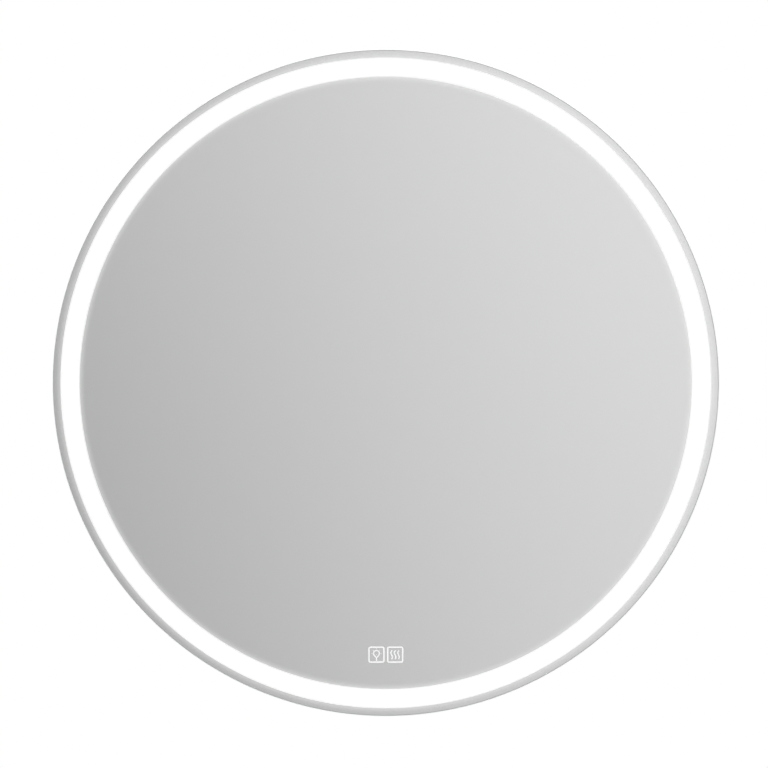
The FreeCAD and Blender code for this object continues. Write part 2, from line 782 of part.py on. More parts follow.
def main():
    os.makedirs("parts", exist_ok=True)
    upper_top, lower_top = cleat_tops()
    save("wall_rail_upper", wall_rail(rail_lines[0]))
    save("wall_rail_lower", wall_rail(rail_lines[1]))
    save("mirror_glass", mirror_glass())
    save("silvering", silvering())
    save("diffuser_ring", diffuser_ring())
    save("frame_ring", frame_ring())
    save("led_strip", led_strip())
    save("led_chips", led_chips())
    save("back_plate", back_plate())
    save("back_screws", back_screws())
    save("wall_bumpers", wall_bumpers())
    save("cleat_upper", cleat(upper_top))
    save("cleat_lower", cleat(lower_top))
    save("heater_pad", heater_pad())
    save("heater_track", heater_track())
    save("heater_tab", heater_tab())
    save("touch_tape", touch_tape())
    save("touch_pads", touch_pads())
    save("touch_board", touch_board())
    save("touch_housing", touch_housing())
    save("driver_tray", driver_tray())
    save("driver_cover", driver_cover())
    save("driver_board", driver_board())
    save("terminal_base", terminal_base())
    save("terminal_cover", terminal_cover())
    save("terminal_block", terminal_block())
    save("earth_blade", earth_blade())
    save("earth_lead", earth_lead())
    save("mains_lead", mains_lead())
    save("supply_lead", flat_lead(supply_points(), supply_bend))
    save("strip_lead", flat_lead(strip_points(), strip_lead_bend))
    save("heater_lead", heater_lead())
    save("lead_clips", lead_clips())


main()
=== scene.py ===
import math

import bpy
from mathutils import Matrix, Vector


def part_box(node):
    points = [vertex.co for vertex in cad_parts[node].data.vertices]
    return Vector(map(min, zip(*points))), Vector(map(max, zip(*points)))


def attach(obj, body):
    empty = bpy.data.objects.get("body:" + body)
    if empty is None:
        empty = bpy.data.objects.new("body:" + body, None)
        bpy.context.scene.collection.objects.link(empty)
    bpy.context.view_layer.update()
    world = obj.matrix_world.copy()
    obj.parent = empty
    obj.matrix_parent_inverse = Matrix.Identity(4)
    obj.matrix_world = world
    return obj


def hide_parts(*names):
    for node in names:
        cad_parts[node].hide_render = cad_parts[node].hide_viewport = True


# Round lighted bathroom mirror. Metres, +Z up, the mirror faces -Y, the wall is the plane Y = 0.

MM = 0.001
FULL = 2 * math.pi
ALONG_Y = (math.pi / 2, 0, 0)  # turns a primitive's axis into the wall
STEPS = 384  # segments round the disc

# ---- The photograph's framing ----
CAMERA_REACH = 3.0  # camera to the front of the glass
VIEW_WIDTH = 0.9207  # seen at the front of the glass
VIEW_OFFSET = (-2.2 * MM, -1.4 * MM)  # camera beside and below the middle of the disc
SENSOR = 36.0

# ---- Glass, silver and light ----
ARRIS = 0.8 * MM
SILVER_GAP = 0.05 * MM  # back of the glass to the silver
PAINT_STEP = 0.3 * MM  # edge of the silver to the edge of the paint behind it
OPAL_LAP = 4 * MM  # opal ring behind the silvered middle
MARK_THICK = 0.02 * MM
BAND_INNER = 367.5 * MM
BAND_OUTER = 390.5 * MM
KEY_SIZE = 19.5 * MM
KEY_STEP = 11.25 * MM  # middle of the disc to the middle of a key
KEY_Z = -326.2 * MM
KEY_STROKE = 1.6 * MM
KEY_CORNER = 2.6 * MM
SYMBOL_STROKE = 1.3 * MM
LAMP_RAISE = 1.3 * MM  # middle of the bulb above the middle of its key
HEAT_LEFT = 0.3 * MM  # waves beside and below the middle of their key
HEAT_DROP = 0.2 * MM
GLOW = 0.70  # of the lit band
MARK_GLOW = 0.82
HALO = 0.35  # share of the band's light over the silver beside it
HALO_REACH = 6.4 * MM
GLASS_IOR = 1.52

# ---- Frame and back, as in the solids ----
FRAME_WALL = 1.8 * MM
LIP_RADIUS = 391.2 * MM
FLANGE_RADIUS = 371.2 * MM
FLANGE_THICK = 2.0 * MM
FLANGE_FACE = -10.0 * MM  # flange's face towards the back plate
PLATE_FACE = -9.0 * MM  # back plate's face towards the wall
CLEAT_FACE = -7.5 * MM  # cleat flange's face towards the wall
JOINT_GAP = 0.4 * MM  # butt joint of the frame section
SCREW_CIRCLE = 383.2 * MM
SCREW_COUNT = 4
SCREW_STEPS = 32
HEAD_FLATS = 6.5 * MM  # across the flats of the hexagon
WELD_COUNT = 7
WELD_STEP = 48 * MM
WELD_DROP = 10 * MM  # top of the cleat to the row of welds

# ---- Stage ----
AMBIENT = 0.5  # light from all round
FLOOR_DROP = 0.6  # lowest point of the glass to the floor
FLOOR_RADIUS = 3.6
FLOOR_FADE = (0.9, 3.0)  # radii between which the floor turns clear
ROOM_TONE = 0.663  # grey of the studio before the mirror, without its shades
ROOM_SHADES = (  # axis of the view's direction, its two stops, and the shade at each of them
    ("X", -0.34, 0.20, -0.322, 0.139),
    ("Z", -0.30, 0.30, -0.10, 0.10),
    ("X", -0.95, -0.38, 0.24, 0.0),
    ("X", 0.30, 0.95, 0.0, -0.26),
)
BACKDROP_TONE = ("Z", -0.5, 0.8, 0.34, 0.85)
OVERHEAD_SHADE = ("Z", 0.35, 0.95, 0.0, -0.35)
BEHIND = ("Y", 0.0, 0.5, 0.0, 1.0)  # share of the backdrop, none before the mirror
LAMPS = (  # name, place, size, power, whether polished faces show it
    ("key_lamp", (-1.6, -2.2, 2.2), 1.2, 45, False),
    ("fill_lamp", (2.2, -1.2, 1.0), 1.6, 15, False),
    ("back_lamp", (1.3, 0.8, 2.6), 3.2, 19, True),
    ("top_fill", (1.3, 0.9, 2.4), 2.8, 22, False),
    ("back_fill", (-2.4, 1.5, 0.6), 2.0, 20, False),
)


# ---- Selection and modelling helpers ----
def only(obj):
    """Deselect everything and make obj the one active object."""
    bpy.ops.object.select_all(action="DESELECT")
    obj.select_set(True)
    bpy.context.view_layer.objects.active = obj


def begin_edit(obj, mode="FACE"):
    only(obj)
    bpy.ops.object.mode_set(mode="EDIT")
    bpy.ops.mesh.select_mode(type=mode)


def end_edit():
    bpy.ops.object.mode_set(mode="OBJECT")


def pick(obj, test, parts="polygons"):
    """In edit mode, select only the faces or edges that pass the test."""
    bpy.ops.mesh.select_all(action="DESELECT")
    end_edit()
    for part in getattr(obj.data, parts):
        part.select = test(part)
    bpy.ops.object.mode_set(mode="EDIT")


def named(name):
    obj = bpy.context.active_object
    obj.name = name
    obj.data.name = name
    return obj


def settle(obj):
    """Put the object's place into its mesh."""
    only(obj)
    bpy.ops.object.transform_apply(location=True, rotation=True, scale=True)
    return obj


def apply_modifier(obj, kind, **settings):
    only(obj)
    modifier = obj.modifiers.new(kind, kind)
    for key, value in settings.items():
        setattr(modifier, key, value)
    bpy.ops.object.modifier_apply(modifier=modifier.name)


def smooth(obj, angle):
    """Shade smooth, but for edges that are sharper than angle."""
    only(obj)
    bpy.ops.object.shade_smooth_by_angle(angle=math.radians(angle))


def cut(obj, tool, operation="DIFFERENCE"):
    """Cut or unite with another solid, which is then gone."""
    apply_modifier(obj, "BOOLEAN", object=tool, operation=operation, solver="EXACT")
    bpy.data.objects.remove(tool)


def soften(obj, width, segments=2, angle=35):
    """Round the edges that are sharper than angle."""
    apply_modifier(obj, "BEVEL", width=width, segments=segments, limit_method="ANGLE",
                   angle_limit=math.radians(angle), use_clamp_overlap=True)
    smooth(obj, angle)
    apply_modifier(obj, "WEIGHTED_NORMAL", keep_sharp=True, weight=80)


def disc_between(name, radius, y_front, y_back, steps=STEPS, x=0.0, z=0.0):
    """Disc or prism between two levels, its axis into the wall."""
    middle = (x, (y_front + y_back) / 2, z)
    bpy.ops.mesh.primitive_cylinder_add(vertices=steps, radius=radius, depth=y_back - y_front,
                                        location=middle, rotation=ALONG_Y)
    return settle(named(name))


def spun_ring(name, corners):
    """Draw a section corner by corner from (radius, y) pairs, then spin it about the Y axis."""
    bpy.ops.mesh.primitive_plane_add(size=MM, location=(0, 0, 0))
    obj = named(name)
    begin_edit(obj, "VERT")
    bpy.ops.mesh.select_all(action="SELECT")
    bpy.ops.mesh.merge(type="CENTER")
    bpy.ops.transform.translate(value=(corners[0][0], corners[0][1], 0))
    for here, there in zip(corners, corners[1:] + corners[:1]):
        move = {"value": (there[0] - here[0], there[1] - here[1], 0)}
        bpy.ops.mesh.extrude_vertices_move(TRANSFORM_OT_translate=move)
    bpy.ops.mesh.select_all(action="SELECT")
    bpy.ops.mesh.remove_doubles(threshold=0.01 * MM)
    bpy.ops.mesh.spin(steps=STEPS, angle=FULL, center=(0, 0, 0), axis=(0, 1, 0))
    bpy.ops.mesh.select_all(action="SELECT")
    bpy.ops.mesh.remove_doubles(threshold=0.005 * MM)
    bpy.ops.mesh.normals_make_consistent(inside=False)
    end_edit()
    return obj


def joined(name, parts):
    bpy.ops.object.select_all(action="DESELECT")
    for part in parts:
        part.select_set(True)
    bpy.context.view_layer.objects.active = parts[0]
    bpy.ops.object.join()
    return named(name)


def copy_at(obj, place, spin):
    """Copy with its own mesh, turned about its own Y axis and moved to place."""
    made = obj.copy()
    made.data = obj.data.copy()
    bpy.context.scene.collection.objects.link(made)
    made.rotation_euler = (0, spin, 0)
    made.location = place
    return settle(made)


def worked_copy(node, name, bend):
    """Merged copy of a CAD node, with its edges rounded to bend."""
    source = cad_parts[node]
    made = bpy.data.objects.new(name, source.data.copy())
    bpy.context.scene.collection.objects.link(made)
    begin_edit(made, "VERT")
    bpy.ops.mesh.select_all(action="SELECT")
    bpy.ops.mesh.remove_doubles(threshold=0.002 * MM)
    bpy.ops.mesh.dissolve_limited(angle_limit=math.radians(0.5))
    end_edit()
    made.data.name = name
    soften(made, bend)
    return made


def finish_piece(obj, node, body, *materials):
    """Give a piece its materials and its body, and hide the CAD nodes that it stands for."""
    obj.data.materials.clear()
    for material in materials:
        obj.data.materials.append(material)
    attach(obj, body)
    nodes = [node] if isinstance(node, str) else list(node)
    if nodes:
        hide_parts(*nodes)


# ---- Shader helpers ----
def add(tree, kind, inputs=None, **settings):
    node = tree.nodes.new(kind)
    for key, value in settings.items():
        setattr(node, key, value)
    for key, value in (inputs or {}).items():
        if isinstance(value, bpy.types.NodeSocket):
            tree.links.new(value, node.inputs[key])
        else:
            node.inputs[key].default_value = value
    return node


def math_node(tree, operation, *values):
    return add(tree, "ShaderNodeMath", dict(enumerate(values)), operation=operation).outputs[0]


def vector_node(tree, operation, first, second, output=0):
    node = add(tree, "ShaderNodeVectorMath", {0: first, 1: second}, operation=operation)
    return node.outputs[output]


def position(tree):
    return add(tree, "ShaderNodeTexCoord").outputs["Object"]


def noise(tree, place, scale, detail, output="Fac"):
    node = add(tree, "ShaderNodeTexNoise", {"Vector": place, "Scale": scale, "Detail": detail})
    return node.outputs[output]


def colour_mix(tree, factor, first, second):
    mix = add(tree, "ShaderNodeMix", {"Factor": factor, "A": first, "B": second}, data_type="RGBA")
    return mix.outputs["Result"]


def value_mix(tree, factor, first, second):
    mix = add(tree, "ShaderNodeMix", {"Factor": factor, "A": first, "B": second}, data_type="FLOAT")
    return mix.outputs["Result"]


def ranged(tree, value, low, high, start=0.0, end=1.0, way="LINEAR"):
    """Value that goes from start at low to end at high."""
    return add(tree, "ShaderNodeMapRange", {"Value": value, "From Min": low, "From Max": high,
                                            "To Min": start, "To Max": end},
               interpolation_type=way).outputs[0]


def eased(tree, value, low, high, start=0.0, end=1.0):
    """The same, with a soft start and end."""
    return ranged(tree, value, low, high, start, end, "SMOOTHSTEP")


def bump_node(tree, height, strength, distance):
    bump = add(tree, "ShaderNodeBump", {"Strength": strength, "Distance": distance, "Height": height})
    return bump.outputs["Normal"]


def new_group(name, inputs, outputs):
    group = bpy.data.node_groups.new(name, "ShaderNodeTree")
    for label, kind, value in inputs:
        socket = group.interface.new_socket(label, in_out="INPUT", socket_type=kind)
        socket.default_value = value
    for label, kind in outputs:
        group.interface.new_socket(label, in_out="OUTPUT", socket_type=kind)
    return group, group.nodes.new("NodeGroupInput"), group.nodes.new("NodeGroupOutput")


def grain_group():
    """Fine grain that can be drawn out along an axis: colour, roughness and bump."""
    tree, given, result = new_group("drawn_grain", [
        ("Stretch", "NodeSocketVector", (400, 400, 400)),
        ("Light", "NodeSocketColor", (0.8, 0.8, 0.8, 1)),
        ("Dark", "NodeSocketColor", (0.6, 0.6, 0.6, 1)),
        ("Smooth", "NodeSocketFloat", 0.3),
        ("Rough", "NodeSocketFloat", 0.45),
        ("Height", "NodeSocketFloat", 0.1),
    ], [("Color", "NodeSocketColor"), ("Roughness", "NodeSocketFloat"), ("Normal", "NodeSocketVector")])
    place = position(tree)
    drawn = vector_node(tree, "MULTIPLY", place, given.outputs["Stretch"])
    lines = add(tree, "ShaderNodeTexNoise", {"Vector": drawn, "Scale": 1.0, "Detail": 4.0,
                                             "Roughness": 0.6}).outputs["Fac"]
    cloud = noise(tree, place, 9.0, 3.0)
    both = math_node(tree, "ADD", math_node(tree, "MULTIPLY", lines, 0.65),
                     math_node(tree, "MULTIPLY", cloud, 0.35))
    spread = ranged(tree, both, 0.32, 0.68)
    colour = colour_mix(tree, spread, given.outputs["Dark"], given.outputs["Light"])
    rough = value_mix(tree, spread, given.outputs["Rough"], given.outputs["Smooth"])
    normal = bump_node(tree, lines, given.outputs["Height"], 0.1 * MM)
    tree.links.new(colour, result.inputs["Color"])
    tree.links.new(rough, result.inputs["Roughness"])
    tree.links.new(normal, result.inputs["Normal"])
    return tree


def new_material(name):
    material = bpy.data.materials.new(name)
    material.use_nodes = True
    return material, material.node_tree, material.node_tree.nodes["Principled BSDF"]


def grained(name, light, dark, smooth, rough, stretch, height=0.1, **shader):
    """Material on the grain group. Other shader sockets are given by name, _ for a space."""
    material, tree, skin = new_material(name)
    group = add(tree, "ShaderNodeGroup", node_tree=grain)
    for key, value in {"Stretch": stretch, "Light": (*light, 1), "Dark": (*dark, 1),
                       "Smooth": smooth, "Rough": rough, "Height": height}.items():
        group.inputs[key].default_value = value
    tree.links.new(group.outputs["Color"], skin.inputs["Base Color"])
    tree.links.new(group.outputs["Roughness"], skin.inputs["Roughness"])
    tree.links.new(group.outputs["Normal"], skin.inputs["Normal"])
    for key, value in shader.items():
        skin.inputs[key.replace("_", " ")].default_value = value
    material.diffuse_color = (*light, 1)
    return material


def grey(tree, value):
    mixed = add(tree, "ShaderNodeCombineColor", {"Red": value, "Green": value, "Blue": value})
    return mixed.outputs["Color"]


def distance_from(tree, axis):
    """Distance from the world's axis of that name."""
    axes = add(tree, "ShaderNodeSeparateXYZ", {"Vector": position(tree)})
    across = {name: axes.outputs[name] for name in "XYZ" if name != axis}
    flat = add(tree, "ShaderNodeCombineXYZ", across)
    return add(tree, "ShaderNodeVectorMath", {0: flat.outputs[0]}, operation="LENGTH").outputs["Value"]


# ---- Materials of the front ----
def clear_glass():
    """Float glass: a breath of green that drifts over the sheet, and its slight waviness."""
    material, tree, skin = new_material("clear_glass")
    drift = noise(tree, position(tree), 5.0, 1.0)
    tint = colour_mix(tree, drift, (0.992, 0.995, 0.993, 1), (0.994, 0.995, 0.995, 1))
    tree.links.new(tint, skin.inputs["Base Color"])
    tree.links.new(bump_node(tree, drift, 0.02, 0.05 * MM), skin.inputs["Normal"])
    skin.inputs["Transmission Weight"].default_value = 1.0
    skin.inputs["IOR"].default_value = GLASS_IOR
    skin.inputs["Roughness"].default_value = 0.0
    material.diffuse_color = (0.9, 0.95, 0.93, 0.3)
    return material


def polished_edge():
    """Faintly green, with fine marks of the wheel round it and a little of the band's light."""
    return grained("polished_edge", (0.69, 0.79, 0.76), (0.58, 0.69, 0.66), 0.16, 0.30,
                   (60, 1400, 60), 0.04, Transmission_Weight=0.12, IOR=GLASS_IOR,
                   Emission_Strength=0.03)


def ground_arris():
    """Matt and nearly white. It glows faintly with the light that the glass carries to it."""
    return grained("ground_arris", (0.92, 0.94, 0.93), (0.84, 0.87, 0.86), 0.40, 0.55,
                   (500, 500, 500), 0.05, Emission_Strength=0.15)


def silver():
    """Mirror silver. Light from the band is scattered over it and fades with the distance."""
    material, tree, skin = new_material("silver")
    radius = distance_from(tree, "Y")
    inside = math_node(tree, "SUBTRACT", BAND_INNER, radius)
    outside = math_node(tree, "SUBTRACT", radius, BAND_OUTER)
    away = math_node(tree, "MAXIMUM", inside, outside)
    near = ranged(tree, away, 0.0, HALO_REACH, 1.0, 0.0)
    halo = math_node(tree, "MULTIPLY", math_node(tree, "POWER", near, 1.4), HALO)
    coat = colour_mix(tree, halo, (0.90, 0.90, 0.90, 1), (0, 0, 0, 1))
    skin.inputs["Metallic"].default_value = 1.0
    skin.inputs["Roughness"].default_value = 0.0
    skin.inputs["Emission Strength"].default_value = 1.0
    tree.links.new(coat, skin.inputs["Base Color"])
    tree.links.new(grey(tree, halo), skin.inputs["Emission Color"])
    material.diffuse_color = (0.8, 0.8, 0.8, 1)
    return material


def glowing(material, light, strength):
    """Let a material shine by a grey value that changes over its surface."""
    tree = material.node_tree
    skin = tree.nodes["Principled BSDF"]
    skin.inputs["Emission Strength"].default_value = strength
    tree.links.new(grey(tree, light), skin.inputs["Emission Color"])
    material.diffuse_color = (1, 1, 1, 1)
    return material


def lit_opal():
    """Opal acrylic that glows evenly and fades a little at its two edges."""
    material = grained("lit_opal", (0.92, 0.92, 0.92), (0.88, 0.88, 0.88), 0.42, 0.55,
                       (900, 900, 900), 0.1)
    tree = material.node_tree
    middle, half = (BAND_INNER + BAND_OUTER) / 2, (BAND_OUTER - BAND_INNER) / 2
    radius = distance_from(tree, "Y")
    off = math_node(tree, "ABSOLUTE", math_node(tree, "SUBTRACT", radius, middle))
    fade = eased(tree, math_node(tree, "DIVIDE", off, half), 0.80, 1.05, 1.0, 0.85)
    return glowing(material, fade, GLOW)


def lit_mark():
    """Etched lines of the keys, lit from behind, a little uneven as etching is."""
    material = grained("lit_mark", (0.64, 0.64, 0.64), (0.56, 0.56, 0.56), 0.5, 0.7,
                       (2500, 2500, 2500), 0.1)
    tree = material.node_tree
    etch = noise(tree, position(tree), 900.0, 2.0)
    return glowing(material, eased(tree, etch, 0.0, 1.0, 0.92, 1.0), MARK_GLOW)


# ---- Materials of the back ----
def zinc_sheet():
    """Hot dipped sheet steel: crystals of zinc, each with its own tone, slope and feathering."""
    material, tree, skin = new_material("zinc_sheet")
    place = position(tree)
    bend = noise(tree, place, 30.0, 3.0, "Color")
    moved = add(tree, "ShaderNodeMix", {"Factor": 0.012, "A": place, "B": bend}, data_type="VECTOR")
    moved = moved.outputs["Result"]
    crystal = add(tree, "ShaderNodeTexVoronoi", {"Vector": moved, "Scale": 120.0}).outputs
    lean = vector_node(tree, "SUBTRACT", crystal["Color"], (0.5, 0.5, 0.5))
    inside = vector_node(tree, "SUBTRACT", moved, crystal["Position"])
    along = vector_node(tree, "DOT_PRODUCT", inside, lean, "Value")
    slope = math_node(tree, "MULTIPLY", along, 60.0)
    ridges = math_node(tree, "SINE", math_node(tree, "MULTIPLY", along, 9000.0))
    feather = math_node(tree, "MULTIPLY", ridges, 0.10)
    tone = add(tree, "ShaderNodeSeparateColor", {"Color": crystal["Color"]}).outputs["Red"]
    cloud = noise(tree, place, 6.0, 4.0)
    both = math_node(tree, "ADD", math_node(tree, "MULTIPLY", tone, 0.40),
                     math_node(tree, "MULTIPLY", cloud, 0.50))
    both = math_node(tree, "ADD", both, math_node(tree, "ADD", slope, feather))
    colour = colour_mix(tree, both, (0.42, 0.44, 0.46, 1), (0.60, 0.62, 0.63, 1))
    tree.links.new(colour, skin.inputs["Base Color"])
    tree.links.new(ranged(tree, both, 0.0, 1.0, 0.52, 0.34), skin.inputs["Roughness"])
    tree.links.new(bump_node(tree, both, 0.08, 0.15 * MM), skin.inputs["Normal"])
    skin.inputs["Metallic"].default_value = 0.9
    material.diffuse_color = (0.6, 0.62, 0.63, 1)
    return material


def satin_aluminium():
    """Anodised aluminium, brushed round the rim."""
    return grained("satin_aluminium", (0.70, 0.705, 0.71), (0.60, 0.605, 0.61), 0.26, 0.38,
                   (6, 5200, 6), 0.10, Metallic=1.0)


def plated_steel():
    return grained("plated_steel", (0.60, 0.61, 0.61), (0.48, 0.49, 0.50), 0.26, 0.42,
                   (14, 900, 900), 0.12, Metallic=1.0)


def plated_screw():
    return grained("plated_screw", (0.70, 0.70, 0.68), (0.50, 0.50, 0.48), 0.24, 0.40,
                   (900, 900, 900), 0.10, Metallic=1.0)


def weld_mark():
    return grained("weld_mark", (0.52, 0.50, 0.47), (0.34, 0.32, 0.30), 0.34, 0.50,
                   (1200, 1200, 1200), 0.2, Metallic=0.9)


def backing_paint():
    return grained("backing_paint", (0.44, 0.47, 0.49), (0.38, 0.41, 0.43), 0.48, 0.62,
                   (500, 500, 500), 0.12)


def rubber():
    return grained("rubber", (0.030, 0.030, 0.031), (0.018, 0.018, 0.019), 0.62, 0.80,
                   (1500, 1500, 1500), 0.25)


def sealant():
    return grained("sealant", (0.80, 0.81, 0.80), (0.72, 0.73, 0.72), 0.35, 0.5,
                   (300, 300, 300), 0.1, Transmission_Weight=0.2)


def black_moulding():
    return grained("black_moulding", (0.035, 0.035, 0.037), (0.022, 0.022, 0.023), 0.42, 0.55,
                   (2400, 2400, 2400), 0.3)


def white_moulding():
    return grained("white_moulding", (0.86, 0.86, 0.84), (0.81, 0.81, 0.79), 0.38, 0.50,
                   (2400, 2400, 2400), 0.2)


def green_board():
    return grained("green_board", (0.03, 0.24, 0.09), (0.02, 0.17, 0.06), 0.22, 0.34,
                   (700, 700, 700), 0.08, Coat_Weight=0.4)


def lead_sheath():
    return grained("lead_sheath", (0.84, 0.84, 0.82), (0.78, 0.78, 0.76), 0.40, 0.55,
                   (500, 500, 500), 0.1)


def earth_sheath():
    """Green insulation with its yellow stripe."""
    material, tree, skin = new_material("earth_sheath")
    wave = add(tree, "ShaderNodeTexWave",
               {"Vector": position(tree), "Scale": 90.0, "Distortion": 0.4},
               wave_type="BANDS", bands_direction="X").outputs["Fac"]
    stripe = ranged(tree, wave, 0.62, 0.68)
    colour = colour_mix(tree, stripe, (0.04, 0.26, 0.06, 1), (0.75, 0.62, 0.05, 1))
    tree.links.new(colour, skin.inputs["Base Color"])
    skin.inputs["Roughness"].default_value = 0.45
    return material


def tinned_brass():
    return grained("tinned_brass", (0.74, 0.70, 0.58), (0.62, 0.58, 0.46), 0.25, 0.4,
                   (900, 900, 900), 0.1, Metallic=1.0)


def amber_film():
    return grained("amber_film", (0.62, 0.50, 0.28), (0.55, 0.43, 0.22), 0.18, 0.32,
                   (200, 200, 200), 0.05)


def foil():
    return grained("foil", (0.78, 0.78, 0.78), (0.66, 0.66, 0.66), 0.22, 0.38,
                   (30, 600, 600), 0.08, Metallic=1.0)


def dark_foam():
    return grained("dark_foam", (0.12, 0.12, 0.125), (0.05, 0.05, 0.052), 0.85, 0.95,
                   (1800, 1800, 1800), 0.5)


def phosphor():
    return grained("phosphor", (0.92, 0.80, 0.38), (0.85, 0.72, 0.30), 0.3, 0.45,
                   (2000, 2000, 2000), 0.1, Coat_Weight=0.5)


# ---- Pieces of the front ----
def glass_pane():
    """Float glass disc: the front edge ground to an arris, the back edge just broken."""
    lo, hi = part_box("mirror_glass")
    pane = disc_between("glass_pane", hi.x, lo.y, hi.y)
    for y, width, segments in ((lo.y, ARRIS, 3), (hi.y, ARRIS / 4, 1)):
        begin_edit(pane, "EDGE")
        points = pane.data.vertices
        pick(pane, lambda e: all(abs(points[i].co.y - y) < 0.01 * MM for i in e.vertices), "edges")
        bpy.ops.mesh.bevel(offset=width, segments=segments, affect="EDGES")
        end_edit()
    smooth(pane, angle=12)
    finish_piece(pane, "mirror_glass", "mirror", clear_glass(), polished_edge(), ground_arris())
    for face in pane.data.polygons:
        tilt = abs(face.normal.y)
        face.material_index = 0 if tilt > 0.99 else 1 if tilt < 0.05 else 2


def silver_coat():
    """The silvered middle and rim. The paint on their backs stands back from the silver's edges."""
    lo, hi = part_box("silvering")
    front, paint = lo.y + SILVER_GAP, lo.y + 2 * SILVER_GAP
    centre = disc_between("silver_middle", BAND_INNER, front, paint)
    begin_edit(centre)
    pick(centre, lambda f: f.normal.y > 0.99)
    bpy.ops.mesh.inset(thickness=PAINT_STEP)
    bpy.ops.mesh.extrude_region_move(TRANSFORM_OT_translate={"value": (0, hi.y - paint, 0)})
    end_edit()
    rim = spun_ring("silver_rim", [
        (BAND_OUTER, front), (hi.x, front), (hi.x, paint), (hi.x - PAINT_STEP, paint),
        (hi.x - PAINT_STEP, hi.y), (BAND_OUTER + PAINT_STEP, hi.y),
        (BAND_OUTER + PAINT_STEP, paint), (BAND_OUTER, paint),
    ])
    coat = joined("silver_coat", [centre, rim])
    finish_piece(coat, "silvering", "mirror", silver(), backing_paint())
    for face in coat.data.polygons:
        face.material_index = 0 if face.normal.y < -0.99 else 1


def key_square(x):
    """Rounded square line: a plane with bevelled corners, inset, and emptied in the middle."""
    bpy.ops.mesh.primitive_plane_add(size=KEY_SIZE, location=(x, mark_level, KEY_Z),
                                     rotation=ALONG_Y)
    square = settle(named("key_square"))
    begin_edit(square, "VERT")
    bpy.ops.mesh.select_all(action="SELECT")
    bpy.ops.mesh.bevel(offset=KEY_CORNER, segments=8, affect="VERTICES")
    bpy.ops.mesh.select_mode(type="FACE")
    bpy.ops.mesh.select_all(action="SELECT")
    bpy.ops.mesh.inset(thickness=KEY_STROKE, use_even_offset=True)
    bpy.ops.mesh.delete(type="FACE")
    end_edit()
    apply_modifier(square, "SOLIDIFY", thickness=MARK_THICK, offset=0.0)
    return square


def line(points, width):
    """Smooth line through (x, z) points of a key symbol."""
    data = bpy.data.curves.new("line", "CURVE")
    data.dimensions = "3D"
    spline = data.splines.new("BEZIER")
    spline.bezier_points.add(len(points) - 1)
    for point, (x, z) in zip(spline.bezier_points, points):
        point.co = (x, 0, z)
        point.handle_left_type = point.handle_right_type = "AUTO"
    data.resolution_u = 10
    data.bevel_depth = width / 2
    data.bevel_resolution = 4
    data.use_fill_caps = True
    made = bpy.data.objects.new("line", data)
    bpy.context.scene.collection.objects.link(made)
    only(made)
    bpy.ops.object.convert(target="MESH")
    made = bpy.context.active_object
    made.scale = (1, MARK_THICK / width, 1)
    made.location = (0, mark_level, 0)
    return settle(made)


def lamp_symbol(x, z):
    """Bulb with its filament, its stem and five short rays."""
    bulb, neck, foot = 3.6 * MM, 5.0 * MM, 8.6 * MM
    stem_start = neck - 0.4 * MM
    filament_start, filament_end = 0.8 * MM, 1.8 * MM
    ray_start, ray_end = 5.0 * MM, 6.0 * MM
    stem_width, filament_width, ray_width = 1.2 * SYMBOL_STROKE, 0.5 * MM, 0.6 * MM

    def at(reach, angle):
        return x + reach * math.cos(math.radians(angle)), z + reach * math.sin(math.radians(angle))

    parts = [line([at(bulb, angle) for angle in range(-30, 211, 30)], SYMBOL_STROKE)]
    for angle in (-28, 208):
        parts.append(line([at(bulb, angle), (x, z - neck)], SYMBOL_STROKE))
    parts.append(line([(x, z - stem_start), (x, z - foot)], stem_width))
    parts.append(line([(x, z - filament_start), (x, z - filament_end)], filament_width))
    for angle in (0, 45, 90, 135, 180):
        parts.append(line([at(ray_start, angle), at(ray_end, angle)], ray_width))
    return parts


def heat_symbol(x, z):
    """Three rising waves."""
    tall, lean, step = 10.6 * MM, 1.15 * MM, 4.15 * MM
    shape = [(0.7, 0.5), (-0.7, 0.24), (0.1, 0.0), (0.95, -0.24), (0.2, -0.5)]
    return [line([(x + i * step + lean * u, z + tall * v) for u, v in shape], SYMBOL_STROKE)
            for i in (-1, 0, 1)]


def key_marks():
    """The two key squares with the lamp in the left one and the waves in the right one."""
    parts = [key_square(-KEY_STEP), key_square(KEY_STEP)]
    parts += lamp_symbol(-KEY_STEP, KEY_Z + LAMP_RAISE)
    parts += heat_symbol(KEY_STEP - HEAT_LEFT, KEY_Z - HEAT_DROP)
    marks = joined("key_marks", parts)
    finish_piece(marks, (), "mirror", lit_mark())


def opal_ring():
    lo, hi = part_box("diffuser_ring")
    inner = BAND_INNER - OPAL_LAP
    ring = spun_ring("opal_ring", [(inner, lo.y), (hi.x, lo.y), (hi.x, hi.y), (inner, hi.y)])
    soften(ring, width=0.2 * MM)
    finish_piece(ring, "diffuser_ring", "mirror", lit_opal())


